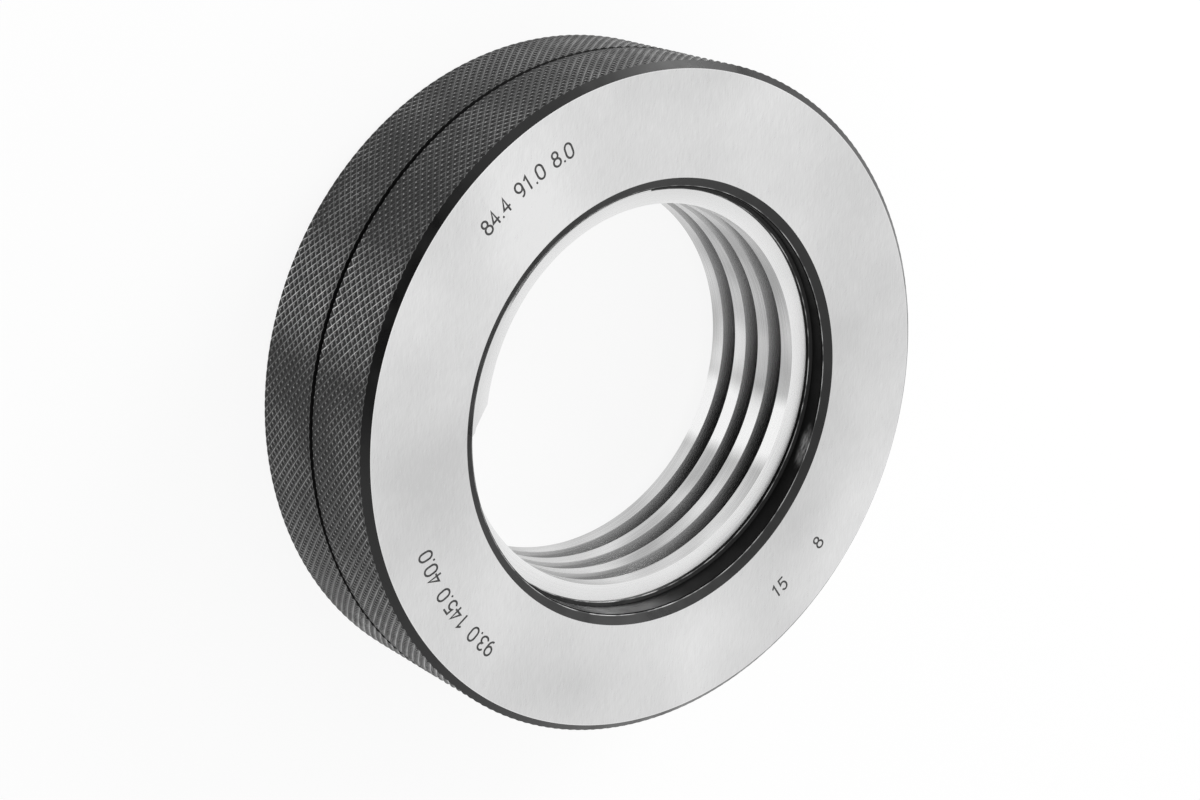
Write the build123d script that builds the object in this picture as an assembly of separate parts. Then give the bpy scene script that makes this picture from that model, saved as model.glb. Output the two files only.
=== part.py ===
"""Not-go thread ring gauge for a coarse trapezoidal screw, one piece of hardened tool steel.

The ring lies on its plain back face, with its axis on Z and the marked face up.
Angles are measured counter-clockwise from +X, looking down on the marked face.
"""
from build123d import *
import math
import os

# ---- driving dimensions, millimetres and degrees ----

# body
OUTER_DIA = 145.0            # over the knurl
WIDTH = 40.0                 # face to face
RIM_CHAMFER = 1.6            # at 45 degrees, on both outer corners

# not-go groove round the middle of the rim
RIM_GROOVE_MOUTH = 1.9
RIM_GROOVE_FLOOR = 0.5
RIM_GROOVE_DEPTH = 1.1

# thread: trapezoidal, right-handed, single start, with the shortened not-go profile
PITCH = 8.0
PITCH_DIA = 85.4
LAND_RISE = 0.5              # from the pitch line in to the lands
ROOT_DEPTH = 2.8             # from the pitch line out to the roots
FLANK_ANGLE = 15.0           # from the plane square to the axis

# mouth of the bore, the same on both faces
RECESS_CLEARANCE = 1.0       # recess wall outside the thread's roots
RECESS_DEPTH = 1.3
MOUTH_CHAMFER_DEPTH = 1.1
MOUTH_CHAMFER_ANGLE = 60.0   # from the axis

# start of the thread: the incomplete turn is cut away and the land ends full
START_ANGLE = 188.5          # where the land's end meets its root
START_SETBACK = 0.4          # first flank's root below the recess floor, at that angle
START_SLOPE = 8.0            # angle over which the land's end climbs to its full height
RELIEF_STEP = 0.2            # relief wall inside the recess wall
RELIEF_SHELF = 0.8           # strip of root left between the first flank and the relief's floor
RELIEF_RISE = 0.45           # that floor's slope, from the root out to the relief's wall
RELIEF_GAP = 0.2             # kept between one end of the relief's turn and the other

# ---- worked out from them ----

outer_r = OUTER_DIA / 2
pitch_r = PITCH_DIA / 2
land_r = pitch_r - LAND_RISE
root_r = pitch_r + ROOT_DEPTH
recess_r = root_r + RECESS_CLEARANCE
relief_r = recess_r - RELIEF_STEP
inside_r = land_r - 0.8      # inner edge of the cutters, clear inside the bore
shelf_r = root_r - 0.1       # where the relief's floor starts to slope, just clear of the root
flank_slope = math.tan(math.radians(FLANK_ANGLE))


def groove_half_width(radius):
    """Half the axial width of the thread groove at a radius: a quarter pitch at the pitch line."""
    return PITCH / 4 - (radius - pitch_r) * flank_slope


def blank():
    """The turned ring before threading, as one revolved section, the same above and below."""
    mouth_r = recess_r + MOUTH_CHAMFER_DEPTH * math.tan(math.radians(MOUTH_CHAMFER_ANGLE))
    middle = WIDTH / 2
    lower_half = [
        (land_r, RECESS_DEPTH),
        (recess_r, RECESS_DEPTH),
        (recess_r, MOUTH_CHAMFER_DEPTH),
        (mouth_r, 0),
        (outer_r - RIM_CHAMFER, 0),
        (outer_r, RIM_CHAMFER),
        (outer_r, middle - RIM_GROOVE_MOUTH / 2),
        (outer_r - RIM_GROOVE_DEPTH, middle - RIM_GROOVE_FLOOR / 2),
    ]
    upper_half = [(r, WIDTH - z) for r, z in reversed(lower_half)]
    outline = make_face(Polyline(*lower_half, *upper_half, close=True).edges())
    return revolve(Plane.XZ * outline, Axis.Z)


def screw_cutters(profile, first_angle, last_angle, last_height):
    """Screw a section of (radius, height) points along the thread, in equal cutters of a turn or less."""
    count = math.ceil((last_angle - first_angle) / 360)
    step = (last_angle - first_angle) / count
    section = Plane.XZ * make_face(Polyline(*profile, close=True).edges())
    path = Helix(pitch=PITCH, height=PITCH * step / 360, radius=land_r)
    cutter = sweep(section, path=path, is_frenet=True)
    cutters = []
    for index in range(count):
        angle = first_angle + step * index
        height = last_height - PITCH * (last_angle - angle) / 360
        cutters.append(Pos(0, 0, height) * Rot(0, 0, angle) * cutter)
    return cutters


# heights where the thread starts on the marked face
start_root = WIDTH - RECESS_DEPTH - START_SETBACK
start_centre = start_root + groove_half_width(root_r)
# the back end is the marked end turned over about +X and then round the axis by this angle
end_turn = (WIDTH - 2 * start_centre) / PITCH * 360 + 2 * START_ANGLE


def thread_groove():
    """The cutters of the whole thread groove, from its start on the back to its start on the front."""
    inner = groove_half_width(inside_r)
    outer = groove_half_width(root_r)
    section = [(inside_r, -inner), (root_r, -outer), (root_r, outer), (inside_r, inner)]
    return screw_cutters(section, end_turn - START_ANGLE, START_ANGLE, start_centre)


def lead_in_relief():
    """The cutters that take the incomplete turn away at the marked face."""
    floor = start_root + RELIEF_SHELF
    top = PITCH - RELIEF_GAP
    section = [(inside_r, 0), (shelf_r, 0), (relief_r, RELIEF_RISE), (relief_r, top), (inside_r, top)]
    cutters = screw_cutters(section, START_ANGLE - 360, START_ANGLE, floor)

    # the land's end slopes from its root up to its crest
    corners = [
        (relief_r, START_ANGLE),
        (land_r, START_ANGLE - START_SLOPE),
        (inside_r, START_ANGLE - START_SLOPE),
        (inside_r, START_ANGLE),
    ]
    points = [(r * math.cos(math.radians(a)), r * math.sin(math.radians(a))) for r, a in corners]
    wedge = extrude(make_face(Polyline(*points, close=True).edges()), top)
    cutters.append(Pos(0, 0, floor - PITCH + RELIEF_RISE) * wedge)
    return cutters


def gauge_ring():
    ring = blank()
    for cutter in thread_groove():
        ring = ring - cutter
    to_back = Rot(0, 0, end_turn) * Pos(0, 0, WIDTH) * Rot(180, 0, 0)
    for cutter in lead_in_relief():
        ring = ring - cutter
        ring = ring - to_back * cutter
    return ring


os.makedirs("parts", exist_ok=True)
ring = gauge_ring()
export_step(ring, "parts/gauge_ring.step")
print("volume", ring.volume, "solids", len(ring.solids()), "valid", ring.is_valid)
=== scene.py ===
import bmesh
import bpy
import math
from mathutils import Matrix, Vector
from mathutils.geometry import delaunay_2d_cdt


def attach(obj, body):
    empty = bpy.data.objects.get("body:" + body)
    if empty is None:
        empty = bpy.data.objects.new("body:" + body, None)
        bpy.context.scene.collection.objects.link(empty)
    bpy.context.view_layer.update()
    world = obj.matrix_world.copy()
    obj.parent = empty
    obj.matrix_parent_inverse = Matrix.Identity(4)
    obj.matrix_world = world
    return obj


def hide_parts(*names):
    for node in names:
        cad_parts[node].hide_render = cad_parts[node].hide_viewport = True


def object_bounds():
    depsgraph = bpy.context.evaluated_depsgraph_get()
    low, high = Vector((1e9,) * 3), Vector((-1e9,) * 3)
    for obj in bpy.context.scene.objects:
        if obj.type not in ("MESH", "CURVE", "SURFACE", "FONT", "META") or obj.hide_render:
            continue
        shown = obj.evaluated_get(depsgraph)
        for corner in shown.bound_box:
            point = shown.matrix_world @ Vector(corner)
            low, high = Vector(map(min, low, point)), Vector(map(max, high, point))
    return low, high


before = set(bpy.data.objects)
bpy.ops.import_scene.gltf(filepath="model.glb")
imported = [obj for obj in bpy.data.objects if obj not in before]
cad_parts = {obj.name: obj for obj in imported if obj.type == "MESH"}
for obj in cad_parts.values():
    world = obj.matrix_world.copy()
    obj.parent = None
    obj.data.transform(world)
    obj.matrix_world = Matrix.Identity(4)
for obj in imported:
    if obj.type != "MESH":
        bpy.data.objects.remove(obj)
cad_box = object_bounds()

# ---- The view ----
# The ring lies on its plain back, the marked face up. The camera looks down on it from half a metre,
# through a 74 mm lens, and is rolled so that the ring is seen as when it is held up on its rim.
MM = 0.001
PICTURE_WIDTH = 1200                     # pixels
FOCAL_LENGTH = 2480.5                    # pixels
SENSOR_WIDTH = 36.0                      # mm
AXIS_TURN = math.radians(37.95)          # the ring's axis, turned right of the line to the camera
AXIS_NOD = math.radians(14.33)           # and tipped down from it
FACE_CENTRE = Vector((12.47, -1.15, -520.4)) * MM    # right, up and back from the camera

ring_width = (cad_box[1][2] - cad_box[0][2]) / MM
axis_seen = Vector((math.sin(AXIS_TURN) * math.cos(AXIS_NOD), -math.sin(AXIS_NOD),
                    math.cos(AXIS_TURN) * math.cos(AXIS_NOD)))
right_seen = axis_seen.cross(Vector((0, -1, 0))).normalized()
up_seen = axis_seen.cross(right_seen)
camera_turn = Matrix((right_seen, up_seen, axis_seen)).to_4x4()

lens = bpy.data.cameras.new("camera")
lens.sensor_width = SENSOR_WIDTH
lens.lens = FOCAL_LENGTH / PICTURE_WIDTH * SENSOR_WIDTH
camera = bpy.data.objects.new("camera", lens)
camera.matrix_world = (Matrix.Translation((0, 0, ring_width * MM)) @ camera_turn
                       @ Matrix.Translation(-FACE_CENTRE))
bpy.context.scene.collection.objects.link(camera)
bpy.context.scene.camera = camera

# ---- The bore ----
# A right-handed trapezoidal thread, ground into hardened tool steel. At both mouths a recess and a
# blackened relief take away the incomplete turn, and the land ends in a short milled slope.
PITCH = 8.0                              # millimetres, like every length down to the floor's
LAND_R = 42.2                            # the crests of the lands
ROOT_R = 45.5
PITCH_LINE_R = 42.7                      # where land and groove are equally wide
FLANK_ANGLE = math.radians(15)           # from the plane square to the axis
RECESS_R = 46.5
RECESS_DEPTH = 1.3
CHAMFER_DEPTH = 1.1
CHAMFER_ANGLE = math.radians(60)         # from the axis
RELIEF_R = 46.3
RELIEF_SHELF = 0.8                       # root left between the first flank and the relief's floor
START_ANGLE = 188.5                      # where the land ends, round the marked face from +X
START_SLOPE = 8.0                        # degrees over which the land climbs to its full height
START_SETBACK = 0.4                      # the first flank's root below the recess floor, at that angle
BARE_SHELF = 88                          # degrees before an end where its shelf is ground with the flank
COLUMN_STEP = 1.0                        # degrees between the mesh's columns
MOUTH_CORNERS = 3                        # corners of a column's mouth, at each end
RIDGE_CORNERS = 8                        # and of each ridge between them

flank_slope = math.tan(FLANK_ANGLE)
half_groove = PITCH / 4 - (ROOT_R - PITCH_LINE_R) * flank_slope      # at the root
mouth_r = RECESS_R + CHAMFER_DEPTH * math.tan(CHAMFER_ANGLE)
recess_floor = ring_width - RECESS_DEPTH
start_root = recess_floor - START_SETBACK
land_length = (2 * (start_root + half_groove) - PITCH - ring_width) / PITCH * 360    # degrees
end_angle = START_ANGLE - land_length    # where the land ends at the back, unwound along the thread
ridge_count = math.ceil(land_length / 360) + 2       # that a column crosses, with what the reliefs left


def slope_radius(angle):
    """Radius of the milled slope that ends the land, a straight cut from the crest to the relief's wall."""
    far = Vector((RELIEF_R, 0))
    near = Vector((math.cos(math.radians(START_SLOPE)), -math.sin(math.radians(START_SLOPE)))) * LAND_R
    turn = math.radians(angle - START_ANGLE)
    ray = Vector((math.cos(turn), math.sin(turn)))
    along = far - near
    return near.cross(along) / ray.cross(along)


def front_ridge(angle):
    """Corners (radius, height) of the ridge at an angle along the thread, from the groove before it to
    the one behind it. Beyond the start there is no ridge, and its corners lie on the relief's wall."""
    root = start_root + PITCH * (angle - START_ANGLE) / 360
    back = root - PITCH + 2 * half_groove
    crest = LAND_R
    radii = [ROOT_R, ROOT_R, ROOT_R, LAND_R, LAND_R, ROOT_R, ROOT_R, ROOT_R]
    if angle > START_ANGLE - 360:
        radii[0] = RELIEF_R
    elif angle > START_ANGLE - 360 - START_SLOPE:
        radii[0] = max(ROOT_R, slope_radius(angle + 360))
    if angle > START_ANGLE - START_SLOPE:
        cut = slope_radius(min(angle, START_ANGLE))
        crest = min(max(cut, LAND_R), ROOT_R)
        radii = [max(radius, cut) for radius in radii]
    rise = (ROOT_R - crest) * flank_slope
    heights = [root + half_groove, root + RELIEF_SHELF, root, root - rise,
               back + rise, back, back - RELIEF_SHELF, back - half_groove]
    heights = [min(height, recess_floor) for height in heights]
    if angle > START_ANGLE:
        # beyond the start, the corners that it had there close up towards the recess floor
        wall_now = recess_floor - (back - half_groove)
        wall_at_start = recess_floor - (start_root - PITCH + half_groove)
        share = max(0, wall_now / wall_at_start)
        shift = start_root - root
        at_start = [root + half_groove, root + RELIEF_SHELF, root, root, back, back, back - RELIEF_SHELF,
                    back - half_groove]
        at_start = [min(height + shift, recess_floor) for height in at_start]
        heights = [recess_floor - (recess_floor - height) * share for height in at_start]
    return list(zip(radii, heights))


def ridge(angle):
    """The same for the whole thread: its back half is its front half turned over."""
    if angle > (START_ANGLE + end_angle) / 2:
        return front_ridge(angle)
    turned = front_ridge(START_ANGLE + end_angle - angle)
    return [(radius, ring_width - height) for radius, height in reversed(turned)]


def bore_column(angle):
    """The bore's section at an angle, from the marked face to the back face."""
    mouth = [(mouth_r, ring_width), (RECESS_R, ring_width - CHAMFER_DEPTH), (RECESS_R, recess_floor)]
    ridges = [corner for turn in range(ridge_count) for corner in ridge(angle + 360 * (1 - turn))]
    return mouth + ridges + [(radius, ring_width - height) for radius, height in reversed(mouth)]


# columns all round the bore, and more of them where the land's slope at the back falls in between
column_angles = [START_ANGLE - 360 + COLUMN_STEP * index for index in range(int(360 / COLUMN_STEP) + 1)]
end_column = (end_angle - START_ANGLE) % 360 + START_ANGLE - 360
column_angles += [end_column + COLUMN_STEP * index for index in range(int(START_SLOPE / COLUMN_STEP) + 1)]
column_angles.sort()


def add_node(tree, kind, *inputs, **settings):
    """A node of the tree, with its settings and its first inputs, each a value or an output to link."""
    node = tree.nodes.new(kind)
    for name, value in settings.items():
        setattr(node, name, value)
    for socket, value in zip(node.inputs, inputs):
        if isinstance(value, bpy.types.NodeSocket):
            tree.links.new(value, socket)
        elif value is not None:
            socket.default_value = value
    return node


def maths(tree, operation, first, second=0.0, third=0.0):
    """The output of a Math node."""
    return add_node(tree, "ShaderNodeMath", first, second, third, operation=operation).outputs[0]


def spread(tree, value, from_low, from_high, to_low, to_high, smooth=False):
    """A value taken from one range to another and kept inside it."""
    kind = "SMOOTHSTEP" if smooth else "LINEAR"
    return add_node(tree, "ShaderNodeMapRange", value, from_low, from_high, to_low, to_high,
                    interpolation_type=kind).outputs[0]


def noise(tree, place, scale, detail=2.0, offset=(0, 0, 0)):
    """Noise that is stretched by its three scales, in features a metre."""
    stretched = add_node(tree, "ShaderNodeMapping", place, offset, None, scale).outputs[0]
    return add_node(tree, "ShaderNodeTexNoise", stretched, None, 1.0, detail).outputs["Fac"]


def steel(name, metallic, roughness, specular=0.5):
    """A plain steel and its tree, object coordinates and shader, for a finish to be built on."""
    material = bpy.data.materials.new(name)
    material.use_nodes = True
    tree = material.node_tree
    shader = tree.nodes["Principled BSDF"]
    shader.inputs["Metallic"].default_value = metallic
    shader.inputs["Roughness"].default_value = roughness
    shader.inputs["Specular IOR Level"].default_value = specular
    place = tree.nodes.new("ShaderNodeTexCoord").outputs["Object"]
    return material, tree, place, shader


def radius_and_height(tree, place):
    """Distance from the ring's axis, and height, in mm."""
    flat = add_node(tree, "ShaderNodeVectorMath", place, (1, 1, 0), operation="MULTIPLY").outputs[0]
    length = add_node(tree, "ShaderNodeVectorMath", flat, operation="LENGTH").outputs["Value"]
    height = add_node(tree, "ShaderNodeSeparateXYZ", place).outputs["Z"]
    return maths(tree, "DIVIDE", length, MM), maths(tree, "DIVIDE", height, MM)


def grey(tree, shader, value):
    """A grey, as bright as a value, on the shader's colour."""
    tree.links.new(add_node(tree, "ShaderNodeCombineColor", value, value, value).outputs[0],
                   shader.inputs["Base Color"])


def bump(tree, shader, height, strength, distance):
    """A height in mm that the shader's normal follows."""
    node = add_node(tree, "ShaderNodeBump")
    node.inputs["Strength"].default_value = strength
    node.inputs["Distance"].default_value = distance * MM
    tree.links.new(height, node.inputs["Height"])
    tree.links.new(node.outputs[0], shader.inputs["Normal"])


def near_side(tree, place, radius, middle, half, most):
    """A value for one side of the ring, the most at its middle angle and nothing beyond half on each way."""
    toward = (math.cos(middle) / MM, math.sin(middle) / MM, 0)
    along = add_node(tree, "ShaderNodeVectorMath", place, toward, operation="DOT_PRODUCT").outputs["Value"]
    return spread(tree, along, radius * math.cos(half), radius, 0.0, most, True)


THREAD_MARKS = (25, 25, 4500)            # long round the axis, and a fifth of a millimetre apart across it
THREAD_STRETCHES = (55, 55, 60)          # about 2 cm long, and different from turn to turn
CREST_GLINT_AT = math.radians(-12)          # where the painted highlight on the lands is brightest
CREST_GLINT_HALF = math.radians(13)
CREST_GLINT_GREY = 0.55                            # the painted highlight's grey, added to theirs there
BRIGHTEST = 0.98


def ground_thread(name, dark, light, crest):
    """Thread ground round the axis: fine marks that run with it, and dull or bright stretches. A crest has
    a painted highlight on one side as well, and a flank has painted shade, darker from its crest to its root."""
    material, tree, place, shader = steel(name, 1.0, 0.25)
    radius, height = radius_and_height(tree, place)
    across = height if crest else radius
    x, y = add_node(tree, "ShaderNodeSeparateXYZ", place).outputs[:2]
    lie = add_node(tree, "ShaderNodeCombineXYZ", x, y, maths(tree, "MULTIPLY", across, MM)).outputs[0]
    marks = noise(tree, lie, THREAD_MARKS, 2.0)
    stretches = noise(tree, lie, THREAD_STRETCHES, 1.0)
    tone = maths(tree, "ADD", maths(tree, "MULTIPLY", stretches, 0.6 if crest else 0.3),
                 maths(tree, "MULTIPLY", marks, 0.25))
    if crest:
        tone = spread(tree, tone, 0.3, 0.56, dark, light)
        # painted highlight: a brighter stretch of every crest on one side of the bore
        crest_glint = near_side(tree, place, LAND_R, CREST_GLINT_AT, CREST_GLINT_HALF, CREST_GLINT_GREY)
        tone = maths(tree, "ADD", tone, crest_glint)
    else:
        # painted shade: a flank is lighter at its crest and darker towards the root of its groove
        tone = maths(tree, "ADD", tone, spread(tree, radius, LAND_R, ROOT_R, 0.2, 0.0))
        tone = spread(tree, tone, 0.2, 0.7, dark, light)
    grey(tree, shader, maths(tree, "MINIMUM", tone, BRIGHTEST))
    tree.links.new(spread(tree, marks, 0.3, 0.7, 0.2, 0.32), shader.inputs["Roughness"])
    bump(tree, shader, marks, strength=0.15, distance=0.01)
    return material


OIL_PATCHES = (180, 180, 180)
STEEL_GRAIN = (2500, 2500, 2500)
RUBBED_PLACES = (260, 260, 40)           # along an edge, where its blackening has gone
WORN_LINE = (0.08, 0.2)                  # from such an edge to where its bright line fades and ends
BARE_GREY = 0.6                          # of the steel under the blackening


def blackened(name, base, specular, roughness, worn_edge=0.0):
    """Hot-blackened steel: nearly black, with a thin oily gloss that is patchy, and where it has an inner
    edge at a radius, a fine line of bare steel that is worn along it."""
    material, tree, place, shader = steel(name, 0.0, roughness, specular)
    patches = noise(tree, place, OIL_PATCHES, 4.0)
    grain = noise(tree, place, STEEL_GRAIN, 2.0)
    colour = spread(tree, patches, 0.3, 0.7, base * 0.6, base * 1.5)
    if worn_edge:
        radius = radius_and_height(tree, place)[0]
        line = spread(tree, radius, worn_edge + WORN_LINE[0], worn_edge + WORN_LINE[1], 1.0, 0.0)
        rubbed = spread(tree, noise(tree, place, RUBBED_PLACES, 3.0), 0.42, 0.62, 0.1, 0.8)
        bare = maths(tree, "MULTIPLY", line, rubbed)
        colour = maths(tree, "MULTIPLY_ADD", bare, BARE_GREY, colour)
        tree.links.new(bare, shader.inputs["Metallic"])
    grey(tree, shader, colour)
    tree.links.new(spread(tree, patches, 0.3, 0.7, roughness - 0.08, roughness + 0.1),
                   shader.inputs["Roughness"])
    bump(tree, shader, grain, strength=0.15, distance=0.02)
    return material, tree, place, shader


ground_crest = ground_thread("ground_crest", dark=0.38, light=0.78, crest=True)
open_flank = ground_thread("open_flank", dark=0.72, light=0.92, crest=False)
# the flanks past the first turn are the same ground steel painted darker: painted shade in the grooves
shaded_inner_flank = ground_thread("shaded_inner_flank", dark=0.36, light=0.62, crest=False)
blackened_mouth = blackened("blackened_mouth", base=0.012, specular=0.4, roughness=0.32,
                            worn_edge=RECESS_R)[0]
# the relief's blackening is darker and duller than the mouth's: painted shade in the thread's hollows
blackened_shaded_relief = blackened("blackened_shaded_relief", base=0.008, specular=0.2, roughness=0.28,
                             worn_edge=ROOT_R)[0]

# the recess's blackening is darker and duller than the mouth's: painted shade in the recess
RECESS_SHADED_GREY = 0.005
RECESS_GLINT_SPOT = Vector((45.4, -10.0, 37.9))            # in the front recess, where a painted highlight lies on its wall as lighter bare steel
RECESS_GLINT_SIZES = (1.0, 6.0)                # from its middle, where the painted highlight starts to fade and ends
RECESS_GLINT_SHAPE = Vector((1, 1, 3))         # what distances are multiplied by: it is a third as high as long
RECESS_GLINT_GREY = 0.4
RECESS_GLINT_STREAKS = (300, 300, 900)

blackened_shaded_recess, tree, place, shader = blackened("blackened_shaded_recess", base=RECESS_SHADED_GREY, specular=0.1,
                                                  roughness=0.45)
# painted highlight: a lighter, metallic, streaked spot on the recess wall, at the angle of the lands' painted
# highlight
flattened = add_node(tree, "ShaderNodeVectorMath", place, RECESS_GLINT_SHAPE, operation="MULTIPLY").outputs[0]
recess_glint = add_node(tree, "ShaderNodeVectorMath", flattened, RECESS_GLINT_SPOT * RECESS_GLINT_SHAPE * MM,
               operation="DISTANCE").outputs["Value"]
recess_glint = spread(tree, recess_glint, RECESS_GLINT_SIZES[0] * MM, RECESS_GLINT_SIZES[1] * MM, RECESS_GLINT_GREY, 0.0, True)
streaks = spread(tree, noise(tree, place, RECESS_GLINT_STREAKS, 3.0), 0.4, 0.62, 0.1, 1.0)
recess_glint = maths(tree, "MULTIPLY", recess_glint, streaks)
grey(tree, shader, maths(tree, "ADD", recess_glint, RECESS_SHADED_GREY))
tree.links.new(recess_glint, shader.inputs["Metallic"])


def bore_finish(row, rows, angle):
    """What the steel is like on one face of the bore's skin. The faces of a ridge are numbered from the
    front: 2 and 4 are its flanks and 3 its crest, 1 and 5 the root next to them, 0 and 6 the floors
    that a relief cuts there, and 7 the joint to the next ridge."""
    if row in (0, rows - 2):
        return blackened_mouth
    if row < MOUTH_CORNERS:
        return blackened_shaded_recess
    turn, face = divmod(row - MOUTH_CORNERS, RIDGE_CORNERS)
    along = angle + 360 * (1 - turn)
    from_start = START_ANGLE - along
    from_end = along - end_angle
    if face in (0, 1) and 0 < from_start < BARE_SHELF or face in (5, 6) and 0 < from_end < BARE_SHELF:
        return open_flank
    if face == 0 and from_start < 360 or face == 6 and from_end < 360:
        return blackened_shaded_relief
    if face not in (2, 3, 4) or from_start <= 0 or from_end < 0:
        return blackened_shaded_recess
    if face == 3:
        return ground_crest if from_start > START_SLOPE and from_end >= START_SLOPE else blackened_shaded_recess
    # the first turn's flank is the plain ground steel, the later ones its copy with painted shade
    return open_flank if (from_start if face == 2 else from_end) < 360 else shaded_inner_flank


def bore_mesh():
    """The columns joined into one skin, each of its faces with its finish."""
    points = []
    faces = []
    finishes = []
    for angle in column_angles:
        turn = math.radians(angle)
        for radius, height in bore_column(angle):
            points.append((radius * math.cos(turn) * MM, radius * math.sin(turn) * MM, height * MM))
    rows = len(points) // len(column_angles)
    bore_finishes = [ground_crest, open_flank, shaded_inner_flank,
                     blackened_mouth, blackened_shaded_relief, blackened_shaded_recess]
    for column, angle in enumerate(column_angles[:-1]):
        for row in range(rows - 1):
            here = column * rows + row
            faces.append((here, here + 1, here + rows + 1, here + rows))
            finishes.append(bore_finishes.index(bore_finish(row, rows, angle)))
    mesh = bpy.data.meshes.new("bore")
    mesh.from_pydata(points, [], faces)
    for finish in bore_finishes:
        mesh.materials.append(finish)
    mesh.polygons.foreach_set("material_index", finishes)
    return mesh


bore = bore_mesh()

# ---- The rim ----
# A blackened rim, rolled with a diamond knurl for grip between two chamfers. A turned groove round its
# middle marks the not-go ring. The two hands of knurling cross, and leave small pyramids standing.
RIM_CHAMFER = 1.6                        # taken off the radius
RIM_CHAMFER_WIDTH = 1.4                  # along the rim
GROOVE_MOUTH = 1.4
GROOVE_FLOOR = 0.5
GROOVE_DEPTH = 1.1
TEETH_ROUND = 215
TEETH_HIGH = 8                           # full pyramids from a chamfer to the groove
KNURL_DEPTH = 0.28
VALLEY_DIP = 0.05                        # the middle of a valley below its sides
VALLEY_SHARE = 0.1                       # half a valley's width, in widths of a pyramid
TIP_SHARE = 0.1                          # half a tip's width
EDGE_DEPTH = 0.35                        # the share of their depth that valleys have where a band ends

rim_r = min(cad_box[1][0], cad_box[1][1], -cad_box[0][0], -cad_box[0][1]) / MM
face_r = rim_r - RIM_CHAMFER
tooth_step = 2 * math.pi / TEETH_ROUND
band_height = ring_width / 2 - RIM_CHAMFER_WIDTH - GROOVE_MOUTH / 2
row_height = band_height / (2 * TEETH_HIGH)          # half a pyramid, as each row stands between two others
chamfer_lean = RIM_CHAMFER_WIDTH / RIM_CHAMFER       # along the rim for each millimetre of depth
groove_lean = (GROOVE_MOUTH - GROOVE_FLOOR) / 2 / GROOVE_DEPTH
# the rings of points of a pyramid, from its foot to its tip, each with its size and its radius
tooth_rings = [(1.0, rim_r - KNURL_DEPTH - VALLEY_DIP), (1 - 2 * VALLEY_SHARE, rim_r - KNURL_DEPTH),
               (2 * TIP_SHARE, rim_r)]

blackened_edge = blackened("blackened_edge", base=0.006, specular=0.4, roughness=0.3)[0]
# the groove's blackening is darker and duller than the rim's edges: painted shade in the groove
blackened_shaded_groove = blackened("blackened_shaded_groove", base=0.004, specular=0.08, roughness=0.5)[0]

KNURL_GREY = 0.006
KNURL_WEAR_AND_GLINT_GREY = 0.9                          # what full wear and painted glint add
VALLEY_LINE = (0.43, 0.47)               # shares of a pyramid's width from its middle to a valley
VALLEY_WEAR_AND_GLINT = (1.0, 0.65)                # for the two hands of knurling: worn valleys with a painted highlight, brighter on one hand
TIP_SPOT = (0.08, 0.13)                  # and to where a tip's worn spot and painted glint fade and end
TIP_WEAR_AND_GLINT = 0.4
KNURL_HIGHLIGHT_AT = math.radians(167)           # where the painted highlight on the valleys is brightest, a band on the left side
KNURL_HIGHLIGHT_HALF = math.radians(15)
WEAR_AND_GLINT_CLOUDS = (60, 60, 60)
UNEVEN_WEAR_AND_GLINT = (700, 700, 700)

blackened_knurl, tree, place, shader = blackened("blackened_knurl", base=KNURL_GREY, specular=0.36,
                                                 roughness=0.32)
x, y, z = add_node(tree, "ShaderNodeSeparateXYZ", place).outputs
round_rim = maths(tree, "DIVIDE", maths(tree, "ARCTAN2", y, x), tooth_step)
upper = maths(tree, "GREATER_THAN", z, ring_width / 2 * MM)
band_bottom = maths(tree, "MULTIPLY_ADD", upper, (band_height + GROOVE_MOUTH) * MM, RIM_CHAMFER_WIDTH * MM)
up_band = maths(tree, "DIVIDE", maths(tree, "SUBTRACT", z, band_bottom), 2 * row_height * MM)
hands = [maths(tree, operation, round_rim, up_band) for operation in ("ADD", "SUBTRACT")]
from_tip = [maths(tree, "PINGPONG", hand, 0.5) for hand in hands]
valleys = [spread(tree, distance, *VALLEY_LINE, 0.0, wear) for distance, wear in zip(from_tip, VALLEY_WEAR_AND_GLINT)]
tips = spread(tree, maths(tree, "MAXIMUM", *from_tip), *TIP_SPOT, TIP_WEAR_AND_GLINT, 0.0)
# painted highlight: a band round one side of the rim where the valley lines are brightest
highlight_band = near_side(tree, place, rim_r, KNURL_HIGHLIGHT_AT, KNURL_HIGHLIGHT_HALF, 1.0)
cloud = spread(tree, noise(tree, place, WEAR_AND_GLINT_CLOUDS), 0.4, 0.62, 0.12, 0.45)
wear_and_highlight = maths(tree, "MAXIMUM", highlight_band, cloud)
uneven = spread(tree, noise(tree, place, UNEVEN_WEAR_AND_GLINT), 0.35, 0.65, 0.5, 1.0)
# the valley lines and tip dots: burnished wear and painted glint together, lighter and metallic
wear_and_glint = maths(tree, "MULTIPLY", maths(tree, "MAXIMUM", *valleys), wear_and_highlight)
wear_and_glint = maths(tree, "MULTIPLY", maths(tree, "MAXIMUM", wear_and_glint, tips), uneven)
grey(tree, shader, maths(tree, "MULTIPLY_ADD", wear_and_glint, KNURL_WEAR_AND_GLINT_GREY, KNURL_GREY))
tree.links.new(maths(tree, "MINIMUM", maths(tree, "MULTIPLY", wear_and_glint, 4.0), 1.0), shader.inputs["Metallic"])


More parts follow.
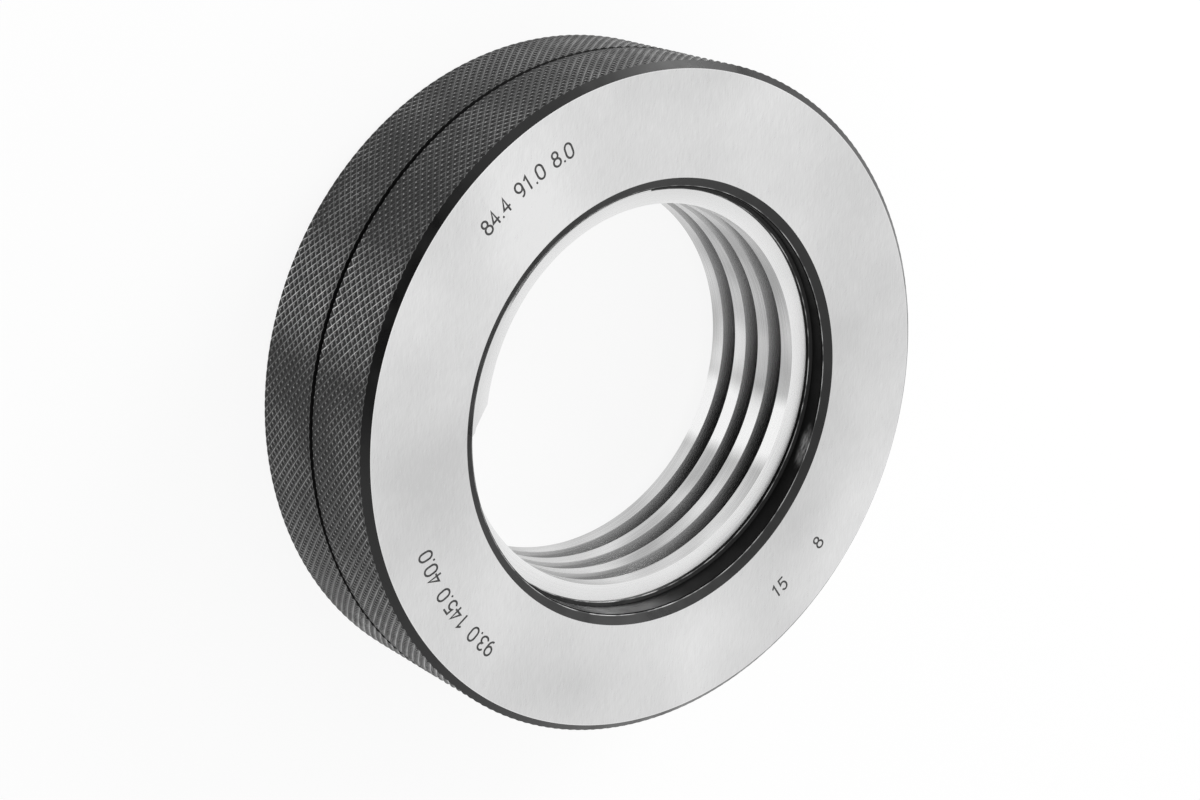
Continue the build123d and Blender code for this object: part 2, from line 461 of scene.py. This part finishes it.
def tooth(name, edge, lean):
    """A pyramid of the knurl at +X. With edge 1 or -1 it is what starts or ends a band instead: half a
    pyramid and a whole one beside it, whose feet run out over the chamfer or the groove's side by lean."""
    corners = [(0.5, 0), (0, 1), (-0.5, 0), (0, -1)]
    pyramids = [(0, 0, corners)]
    if edge == 1:
        pyramids = [(0, 0, corners[:3]), (0.5, 1, corners)]
    if edge == -1:
        pyramids = [(0, 0, corners[2:] + corners[:1]), (0.5, -1, corners)]
    points = []
    faces = []
    for across_from, rows_up, used in pyramids:
        first = len(points)
        count = len(used)
        for size, radius in tooth_rings:
            for across, upward in used:
                turn = (across_from + across * size) * tooth_step
                height = (rows_up + upward * size) * row_height
                reach = radius
                if edge and rows_up + upward * size == 0:
                    reach = rim_r - (rim_r - radius) * EDGE_DEPTH
                    height = -edge * (rim_r - reach) * lean
                points.append((reach * math.cos(turn) * MM, reach * math.sin(turn) * MM, height * MM))
        sides = 4 if count == 4 else 2       # half a pyramid is open where it is cut
        for ring in (first, first + count):
            for side in range(sides):
                after = (side + 1) % count
                faces.append((ring + side, ring + after, ring + count + after, ring + count + side))
        faces.append(tuple(range(first + 2 * count, first + 3 * count)))
    mesh = bpy.data.meshes.new(name)
    mesh.from_pydata(points, [], faces)
    pyramid = bpy.data.objects.new(name, mesh)
    bpy.context.scene.collection.objects.link(pyramid)
    return pyramid


def knurl_tree():
    """Geometry nodes that set rows of pyramids round the rim, every other row half a step on."""
    tree = bpy.data.node_groups.new("knurl", "GeometryNodeTree")
    for name, kind in (("Teeth Round", "Int"), ("Rows", "Int"), ("Row Height", "Float"), ("Bottom", "Float"),
                       ("Tooth", "Object"), ("Bottom Tooth", "Object"), ("Top Tooth", "Object"),
                       ("Finish", "Material")):
        tree.interface.new_socket(name=name, in_out="INPUT", socket_type="NodeSocket" + kind)
    tree.interface.new_socket(name="Knurl", in_out="OUTPUT", socket_type="NodeSocketGeometry")
    given = tree.nodes.new("NodeGroupInput").outputs
    teeth, rows = given["Teeth Round"], given["Rows"]

    index = tree.nodes.new("GeometryNodeInputIndex").outputs[0]
    row = maths(tree, "FLOOR", maths(tree, "DIVIDE", maths(tree, "ADD", index, 0.5), teeth))
    in_row = maths(tree, "SUBTRACT", index, maths(tree, "MULTIPLY", row, teeth))
    offset = maths(tree, "MULTIPLY", maths(tree, "MODULO", row, 2.0), 0.5)
    step = maths(tree, "DIVIDE", 2 * math.pi, teeth)
    turn = maths(tree, "MULTIPLY", maths(tree, "ADD", in_row, offset), step)
    height = maths(tree, "MULTIPLY_ADD", row, given["Row Height"], given["Bottom"])
    place = add_node(tree, "ShaderNodeCombineXYZ", 0.0, 0.0, height).outputs[0]
    count = maths(tree, "MULTIPLY", maths(tree, "ADD", rows, 1.0), teeth)
    points = add_node(tree, "GeometryNodePoints", count, place).outputs[0]
    euler = add_node(tree, "ShaderNodeCombineXYZ", 0.0, 0.0, turn).outputs[0]
    rotation = add_node(tree, "FunctionNodeEulerToRotation", euler).outputs[0]

    at_bottom = maths(tree, "LESS_THAN", row, 0.5)
    at_top = maths(tree, "GREATER_THAN", row, maths(tree, "SUBTRACT", rows, 0.5))
    below_top = maths(tree, "LESS_THAN", row, maths(tree, "SUBTRACT", rows, 1.5))
    between = maths(tree, "MULTIPLY", maths(tree, "GREATER_THAN", row, 1.5), below_top)
    join = tree.nodes.new("GeometryNodeJoinGeometry")
    for name, chosen in (("Tooth", between), ("Bottom Tooth", at_bottom), ("Top Tooth", at_top)):
        shape = add_node(tree, "GeometryNodeObjectInfo", given[name])
        placed = add_node(tree, "GeometryNodeInstanceOnPoints", points, chosen)
        tree.links.new(shape.outputs["Geometry"], placed.inputs["Instance"])
        tree.links.new(rotation, placed.inputs["Rotation"])
        tree.links.new(placed.outputs[0], join.inputs[0])
    real = add_node(tree, "GeometryNodeRealizeInstances", join.outputs[0])
    finish = add_node(tree, "GeometryNodeSetMaterial", real.outputs[0])
    tree.links.new(given["Finish"], finish.inputs["Material"])
    add_node(tree, "NodeGroupOutput", finish.outputs[0])
    return tree


def knurl_band(tree, bottom, bottom_tooth, top_tooth):
    """One band of knurling as a plain mesh, with its lowest row centred on a height."""
    carrier = bpy.data.objects.new("band", bpy.data.meshes.new("band"))
    bpy.context.scene.collection.objects.link(carrier)
    modifier = carrier.modifiers.new("knurl", "NODES")
    modifier.node_group = tree
    values = {"Teeth Round": TEETH_ROUND, "Rows": 2 * TEETH_HIGH, "Row Height": row_height * MM,
              "Bottom": bottom * MM, "Tooth": full_tooth, "Bottom Tooth": bottom_tooth,
              "Top Tooth": top_tooth, "Finish": blackened_knurl}
    for socket in tree.interface.items_tree:
        if socket.in_out == "INPUT":
            modifier[socket.identifier] = values[socket.name]
    evaluated = carrier.evaluated_get(bpy.context.evaluated_depsgraph_get())
    mesh = bpy.data.meshes.new_from_object(evaluated)
    bpy.data.objects.remove(carrier)
    return mesh


def rim_ring(height, lean, side):
    """The toothed edge where a band of knurling meets a chamfer or the groove, at a height."""
    before = [(-size, radius) for size, radius in tooth_rings]
    after = [(size, radius) for size, radius in reversed(tooth_rings[1:])]
    ring = []
    for index in range(TEETH_ROUND):
        for across, radius in before + after:
            turn = (index + across / 2) * tooth_step
            depth = (rim_r - radius) * EDGE_DEPTH
            ring.append((rim_r - depth, turn, height + side * depth * lean))
    return ring


full_tooth = tooth("full_tooth", edge=0, lean=0)
edge_teeth = {(edge, lean): tooth("edge_tooth", edge, lean)
              for edge in (1, -1) for lean in (chamfer_lean, groove_lean)}
knurl = knurl_tree()
groove_bottom, groove_top = ring_width / 2 - GROOVE_MOUTH / 2, ring_width / 2 + GROOVE_MOUTH / 2
knurl_bands = [
    knurl_band(knurl, RIM_CHAMFER_WIDTH, edge_teeth[1, chamfer_lean], edge_teeth[-1, groove_lean]),
    knurl_band(knurl, groove_top, edge_teeth[1, groove_lean], edge_teeth[-1, chamfer_lean]),
]
for pyramid in [full_tooth, *edge_teeth.values()]:
    bpy.data.objects.remove(pyramid)

rim_turns = [turn for radius, turn, height in rim_ring(0, 0, 1)]


def rim_mesh():
    """The chamfers and the groove, each a strip between two rings of points."""
    def plain(radius, height):
        return [(radius, turn, height) for turn in rim_turns]

    low_edge = rim_ring(RIM_CHAMFER_WIDTH, chamfer_lean, -1)
    high_edge = rim_ring(ring_width - RIM_CHAMFER_WIDTH, chamfer_lean, 1)
    floor_edges = [plain(rim_r - GROOVE_DEPTH, (ring_width + side * GROOVE_FLOOR) / 2) for side in (-1, 1)]
    strips = [
        [plain(face_r, 0), low_edge],
        [rim_ring(groove_bottom, groove_lean, 1), *floor_edges, rim_ring(groove_top, groove_lean, -1)],
        [high_edge, plain(face_r, ring_width)],
    ]
    points = []
    faces = []
    finishes = []
    for strip in strips:
        for lower, upper in zip(strip, strip[1:]):
            first = len(points)
            count = len(lower)
            finishes += [1 if strip is strips[1] else 0] * count
            for radius, turn, height in lower + upper:
                points.append((radius * math.cos(turn) * MM, radius * math.sin(turn) * MM, height * MM))
            faces += [(first + index, first + (index + 1) % count,
                       first + count + (index + 1) % count, first + count + index) for index in range(count)]
    mesh = bpy.data.meshes.new("rim")
    mesh.from_pydata(points, [], faces)
    mesh.materials.append(blackened_edge)
    mesh.materials.append(blackened_shaded_groove)
    mesh.polygons.foreach_set("material_index", finishes)
    return mesh


rim = rim_mesh()

# ---- The faces and their marking ----
# Both faces are ground flat and lapped bright. Plain numbers, the ring's own sizes, are etched into the
# upper one with a fine pen: two lines at the left, tops outward, and two short ones at the lower right.
PEN = 0.46                               # width of a stroke
PEN_TIP = 0.35                           # its narrower end: how far it runs on and half its width, in widths
MITRE = 0.5                              # least cosine of half a bend that is mitred in full
ETCH_DEPTH = 0.03
LEAST_AREA = 0.001                       # square mm, twice the smallest triangle of a stroke that is kept
SAME_POINT = 1e-7                        # points of a face nearer than this are one
DIGIT_HEIGHT = 3.1
DIGIT_WIDTH = 1.75
DIGIT_ADVANCE = 2.35
NARROW = {".": 0.45, " ": 0.85}          # the shares of it that a point and a space take
LABELS = [                               # words, middle angle, radius of the digits' middle, tops outward
    ("84.4 91.0 8.0", 133.8, 61.9, True),
    ("93.0 145.0 40.0", -137.0, 62.1, True),
    ("15", -44.2, 60.4, False),
    ("8", -31.2, 61.6, False),
]

LAPPING = (3200, 260, 100)               # strokes 0.3 mm apart and 4 mm long
LAPPING_TURNS = (8, -14, 40)             # degrees by which the three passes are turned
LAPPING_CLOUD = (22, 22, 22)
LAPPED_GREYS = (0.6, 0.82)
FACE_EDGE_LINE = (0.22, 0.05)                      # inside the outer edge, where its bright line starts and is full
FACE_EDGE_LINE_GREY = 0.12                         # what it adds
ETCHED_GREYS = (0.03, 0.09)

lapped_face, tree, place, shader = steel("lapped_face", 1.0, 0.3)
strokes = []
for turn in LAPPING_TURNS:
    turned = add_node(tree, "ShaderNodeVectorRotate", place, None, None, math.radians(turn)).outputs[0]
    strokes.append(noise(tree, turned, LAPPING, 3.0, offset=(turn, 0, 0)))
fine = maths(tree, "ADD", strokes[0], strokes[1])
fine = maths(tree, "ADD", fine, maths(tree, "MULTIPLY", strokes[2], 0.6))
cloud = noise(tree, place, LAPPING_CLOUD, offset=(0.4, 0.9, 0.0))
tone = maths(tree, "ADD", maths(tree, "MULTIPLY", fine, 0.2), maths(tree, "MULTIPLY", cloud, 0.9))
# a thin lighter line painted just inside the face's outer edge
face_edge_line = spread(tree, radius_and_height(tree, place)[0], face_r - FACE_EDGE_LINE[0], face_r - FACE_EDGE_LINE[1], 0.0, FACE_EDGE_LINE_GREY)
grey(tree, shader, maths(tree, "ADD", spread(tree, tone, 0.5, 0.9, *LAPPED_GREYS), face_edge_line))
tree.links.new(spread(tree, fine, 0.9, 1.7, 0.26, 0.36), shader.inputs["Roughness"])
bump(tree, shader, fine, strength=0.12, distance=0.01)

etched_mark, tree, place, shader = steel("etched_mark", 0.0, 0.7, 0.3)
grey(tree, shader, spread(tree, noise(tree, place, STEEL_GRAIN), 0.3, 0.7, *ETCHED_GREYS))


def arc(centre_x, centre_y, radius_x, radius_y, start, end, steps=10):
    """Points along part of an ellipse, in a digit's box of one by one."""
    turns = [math.radians(start + (end - start) * index / steps) for index in range(steps + 1)]
    return [(centre_x + radius_x * math.cos(turn), centre_y + radius_y * math.sin(turn)) for turn in turns]


DIGITS = {                               # pen strokes in a box of one by one, the closed ones marked
    "0": [(arc(0.5, 0.66, 0.5, 0.34, 0, 180) + arc(0.5, 0.34, 0.5, 0.34, 180, 360), True)],
    "1": [([(0.2, 0.82), (0.55, 1.0), (0.55, 0.0)], False)],
    "3": [(arc(0.46, 0.76, 0.44, 0.24, 150, -80) + arc(0.46, 0.27, 0.52, 0.27, 80, -150), False)],
    "4": [([(0.72, 0.0), (0.72, 1.0), (0.02, 0.3), (1.0, 0.3)], False)],
    "5": [([(0.9, 1.0), (0.16, 1.0), (0.08, 0.56)] + arc(0.46, 0.33, 0.48, 0.33, 125, -145), False)],
    "8": [(arc(0.5, 0.77, 0.4, 0.23, -90, 270, 18)[:-1], True),
          (arc(0.5, 0.27, 0.5, 0.27, 90, 450, 18)[:-1], True)],
    "9": [(arc(0.5, 0.68, 0.48, 0.32, 0, 360, 18)[:-1], True),
          ([(0.98, 0.68), (0.94, 0.4)] + arc(0.44, 0.36, 0.5, 0.36, 0, -90), False)],
    ".": [([(0.5, 0.0), (0.5, 0.05)], False)],
    " ": [],
}


def pen_stroke(path, closed):
    """The outline of a stroke as points and the quads between them, with mitred corners."""
    path = [Vector(point) for point in path]
    count = len(path)
    left = []
    right = []
    for index, point in enumerate(path):
        before = path[index - 1] if closed or index > 0 else None
        after = path[(index + 1) % count] if closed or index < count - 1 else None
        ways = [(point - before).normalized()] if before is not None else []
        ways += [(after - point).normalized()] if after is not None else []
        way = sum(ways, Vector((0, 0))).normalized()
        across = Vector((-way.y, way.x)) * PEN / 2 / max(way.dot(ways[0]), MITRE)
        left.append(point + across)
        right.append(point - across)
    points = left + right
    spans = range(count if closed else count - 1)
    quads = [(index, count + index, count + (index + 1) % count, (index + 1) % count) for index in spans]
    if not closed:
        for end, way in ((0, path[0] - path[1]), (count - 1, path[-1] - path[-2])):
            way.normalize()
            points += [path[end] + way * PEN * PEN_TIP + side * Vector((-way.y, way.x)) * PEN * PEN_TIP
                       for side in (-1, 1)]
            a, b = len(points) - 2, len(points) - 1
            quads.append((end, count + end, a, b) if end else (count + end, end, a, b))
    return points, quads


# the points of a face's outer and inner edges, by radius and turn, and the two outlines that they make
face_edges = [(face_r, turn) for turn in rim_turns]
face_edges += [(mouth_r, math.radians(angle)) for angle in column_angles[:-1]]
face_outlines = [list(range(len(rim_turns))), list(range(len(rim_turns), len(face_edges)))]


def marked_face():
    """The marked face as one flat mesh, from the chamfer to the bore, with the strokes sunk into it."""
    points = [Vector((math.cos(turn), math.sin(turn))) * radius for radius, turn in face_edges]
    outlines = list(face_outlines)
    for words, middle_angle, radius, outward in LABELS:
        up = 1 if outward else -1
        widths = [DIGIT_ADVANCE * NARROW.get(character, 1) for character in words]
        for index, character in enumerate(words):
            place = sum(widths[:index]) + widths[index] / 2 - sum(widths) / 2
            turn = math.radians(middle_angle) - up * place / radius
            out = Vector((math.cos(turn), math.sin(turn)))
            along = Vector((out.y, -out.x)) * up
            for path, closed in DIGITS[character]:
                path = [out * radius + along * (x - 0.5) * DIGIT_WIDTH + out * up * (y - 0.5) * DIGIT_HEIGHT
                        for x, y in path]
                stroke, quads = pen_stroke(path, closed)
                for a, b, c, d in quads:
                    for corners in ((a, b, c), (a, c, d)):
                        p, q, r = [stroke[corner] for corner in corners]
                        twice_area = (q - p).cross(r - p)
                        if abs(twice_area) > LEAST_AREA:
                            ordered = corners if twice_area > 0 else tuple(reversed(corners))
                            outlines.append([len(points) + corner for corner in ordered])
                points += stroke
    flat = delaunay_2d_cdt(points, [], outlines, 0, SAME_POINT, True)
    mesh = bmesh.new()
    spots = [mesh.verts.new((point.x * MM, point.y * MM, ring_width * MM)) for point in flat[0]]
    etched = []
    for triangle, inside in zip(flat[2], flat[5]):
        if 0 in inside and 1 not in inside:
            face = mesh.faces.new([spots[index] for index in triangle])
            if any(outline > 1 for outline in inside):
                face.material_index = 1
                etched.append(face)
    sunk = bmesh.ops.extrude_face_region(mesh, geom=etched)["geom"]
    bmesh.ops.translate(mesh, verts=[part for part in sunk if isinstance(part, bmesh.types.BMVert)],
                        vec=(0, 0, -ETCH_DEPTH * MM))
    bmesh.ops.delete(mesh, geom=etched, context="FACES")
    result = bpy.data.meshes.new("marked_face")
    mesh.to_mesh(result)
    mesh.free()
    result.materials.append(lapped_face)
    result.materials.append(etched_mark)
    return result


def back_face():
    """The back face, plain, as triangles between its two edges."""
    points = [Vector((radius * math.cos(turn) * MM, radius * math.sin(turn) * MM))
              for radius, turn in face_edges]
    flat = delaunay_2d_cdt(points, [], face_outlines, 0, SAME_POINT * MM, True)
    faces = [tuple(reversed(triangle)) for triangle, inside in zip(flat[2], flat[5])
             if 0 in inside and 1 not in inside]
    mesh = bpy.data.meshes.new("back_face")
    mesh.from_pydata([(point.x, point.y, 0) for point in flat[0]], [], faces)
    mesh.materials.append(lapped_face)
    return mesh


faces = [marked_face(), back_face()]

# ---- The whole ring ----
# One piece of hardened steel: the bore, the rim with its knurl, and the two faces are joined into a
# single closed skin that stands for the plain solid.
WELD = 0.001                             # points nearer than this are one
SLIVER = WELD / 10                       # and faces thinner than this are taken out
SHARP = math.radians(20)                 # edges that turn more than this aren't smoothed

finishes = [lapped_face, etched_mark, ground_crest, open_flank, shaded_inner_flank, blackened_mouth,
            blackened_shaded_relief, blackened_shaded_recess, blackened_edge, blackened_knurl, blackened_shaded_groove]
skin = bmesh.new()
for part in [bore, rim, *knurl_bands, *faces]:
    done = len(skin.faces)
    skin.from_mesh(part)
    skin.faces.ensure_lookup_table()
    for face in skin.faces[done:]:
        face.material_index = finishes.index(part.materials[face.material_index])
        face.smooth = True
    bpy.data.meshes.remove(part)
bmesh.ops.remove_doubles(skin, verts=skin.verts, dist=WELD * MM)
bmesh.ops.dissolve_degenerate(skin, dist=SLIVER * MM, edges=skin.edges)
bmesh.ops.recalc_face_normals(skin, faces=skin.faces)
gauge_mesh = bpy.data.meshes.new("steel_ring")
skin.to_mesh(gauge_mesh)
skin.free()
for finish in finishes:
    gauge_mesh.materials.append(finish)
gauge_mesh.set_sharp_from_angle(angle=SHARP)
gauge = bpy.data.objects.new("steel_ring", gauge_mesh)
bpy.context.scene.collection.objects.link(gauge)
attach(gauge, "root")
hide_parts("gauge_ring")

# ---- Floor and light ----
# A wide white floor under the ring, which stays white to the eye and in reflections with a light shadow.
# The light is a white tent, with a lamp at the upper right and a dark card above the camera's side. The
# card shows only in the steel, and fades to the tent's own white at its edge.
FLOOR_SIZE = 3.0                         # metres, like the sizes and distances of the card and the lamp
FLOOR_GREYS = (0.9, 0.94)
SHADOW_SHARE = 0.1                       # how much of the floor's look is its own shaded colour
WHITE = (1, 1, 1, 1)
TENT = 0.95                              # brightness
CARD = 0.12                              # brightness of the card's middle
CARD_FROM = Vector((-0.76, 0.2, 0.62)).normalized()
CARD_DISTANCE = 1.2
CARD_ANGLES = (26, 38)                   # degrees from its middle, where it starts to fade and ends
CARD_STEP = 5                            # degrees between the corners of its edge
LAMP_FROM = Vector((0.5, 0.72, 0.48)).normalized()
LAMP_DISTANCE = 0.8
LAMP_SIZE = 0.4
LAMP_POWER = 3.2                         # watts

floor_mesh = bpy.data.meshes.new("floor")
floor_corners = [(x * FLOOR_SIZE / 2, y * FLOOR_SIZE / 2, 0) for x, y in ((-1, -1), (1, -1), (1, 1), (-1, 1))]
floor_mesh.from_pydata(floor_corners, [], [(0, 1, 2, 3)])
floor = bpy.data.objects.new("floor", floor_mesh)
bpy.context.scene.collection.objects.link(floor)
white_floor, tree, place, shader = steel("white_floor", 0.0, 0.6, 0.1)
grey(tree, shader, spread(tree, noise(tree, place, (6, 6, 6)), 0.0, 1.0, *FLOOR_GREYS))
glow = add_node(tree, "ShaderNodeEmission", WHITE, 1.0).outputs[0]
ray = tree.nodes.new("ShaderNodeLightPath").outputs
seen = maths(tree, "MAXIMUM", maths(tree, "MAXIMUM", ray["Is Camera Ray"], ray["Is Glossy Ray"]),
             ray["Is Transmission Ray"])
mixed = add_node(tree, "ShaderNodeMixShader", maths(tree, "MULTIPLY", seen, 1 - SHADOW_SHARE),
                 shader.outputs[0], glow)
tree.links.new(mixed.outputs[0], tree.nodes["Material Output"].inputs["Surface"])
floor_mesh.materials.append(white_floor)

world = bpy.data.worlds.new("tent")
bpy.context.scene.world = world
world.use_nodes = True
world.node_tree.nodes["Background"].inputs["Color"].default_value = WHITE
world.node_tree.nodes["Background"].inputs["Strength"].default_value = TENT

card_r = CARD_DISTANCE * math.tan(math.radians(CARD_ANGLES[1]))
card_side = CARD_FROM.cross(Vector((0, 0, 1))).normalized()
card_up = card_side.cross(CARD_FROM)
card_turns = [math.radians(angle) for angle in range(0, 360, CARD_STEP)]
card_edge = [CARD_FROM * CARD_DISTANCE + (card_side * math.cos(turn) + card_up * math.sin(turn)) * card_r
             for turn in card_turns]
card_mesh = bpy.data.meshes.new("dark_card")
card_mesh.from_pydata(card_edge, [], [tuple(reversed(range(len(card_edge))))])
card = bpy.data.objects.new("dark_card", card_mesh)
bpy.context.scene.collection.objects.link(card)
card.visible_camera = False
dark_card = bpy.data.materials.new("dark_card")
dark_card.use_nodes = True
tree = dark_card.node_tree
place = tree.nodes.new("ShaderNodeTexCoord").outputs["Object"]
away = add_node(tree, "ShaderNodeVectorMath", place, CARD_FROM * CARD_DISTANCE, operation="DISTANCE")
fade_r = CARD_DISTANCE * math.tan(math.radians(CARD_ANGLES[0]))
fade = spread(tree, away.outputs["Value"], fade_r, card_r, CARD, TENT, True)
glow = add_node(tree, "ShaderNodeEmission", WHITE, fade).outputs[0]
tree.links.new(glow, tree.nodes["Material Output"].inputs["Surface"])
card_mesh.materials.append(dark_card)

lamp_data = bpy.data.lights.new("lamp", "AREA")
lamp_data.shape = "DISK"
lamp_data.size = LAMP_SIZE
lamp_data.energy = LAMP_POWER
lamp = bpy.data.objects.new("lamp", lamp_data)
lamp.location = LAMP_FROM * LAMP_DISTANCE
lamp.rotation_euler = LAMP_FROM.to_track_quat("Z", "Y").to_euler()
bpy.context.scene.collection.objects.link(lamp)

bpy.context.scene.view_settings.view_transform = "Standard"
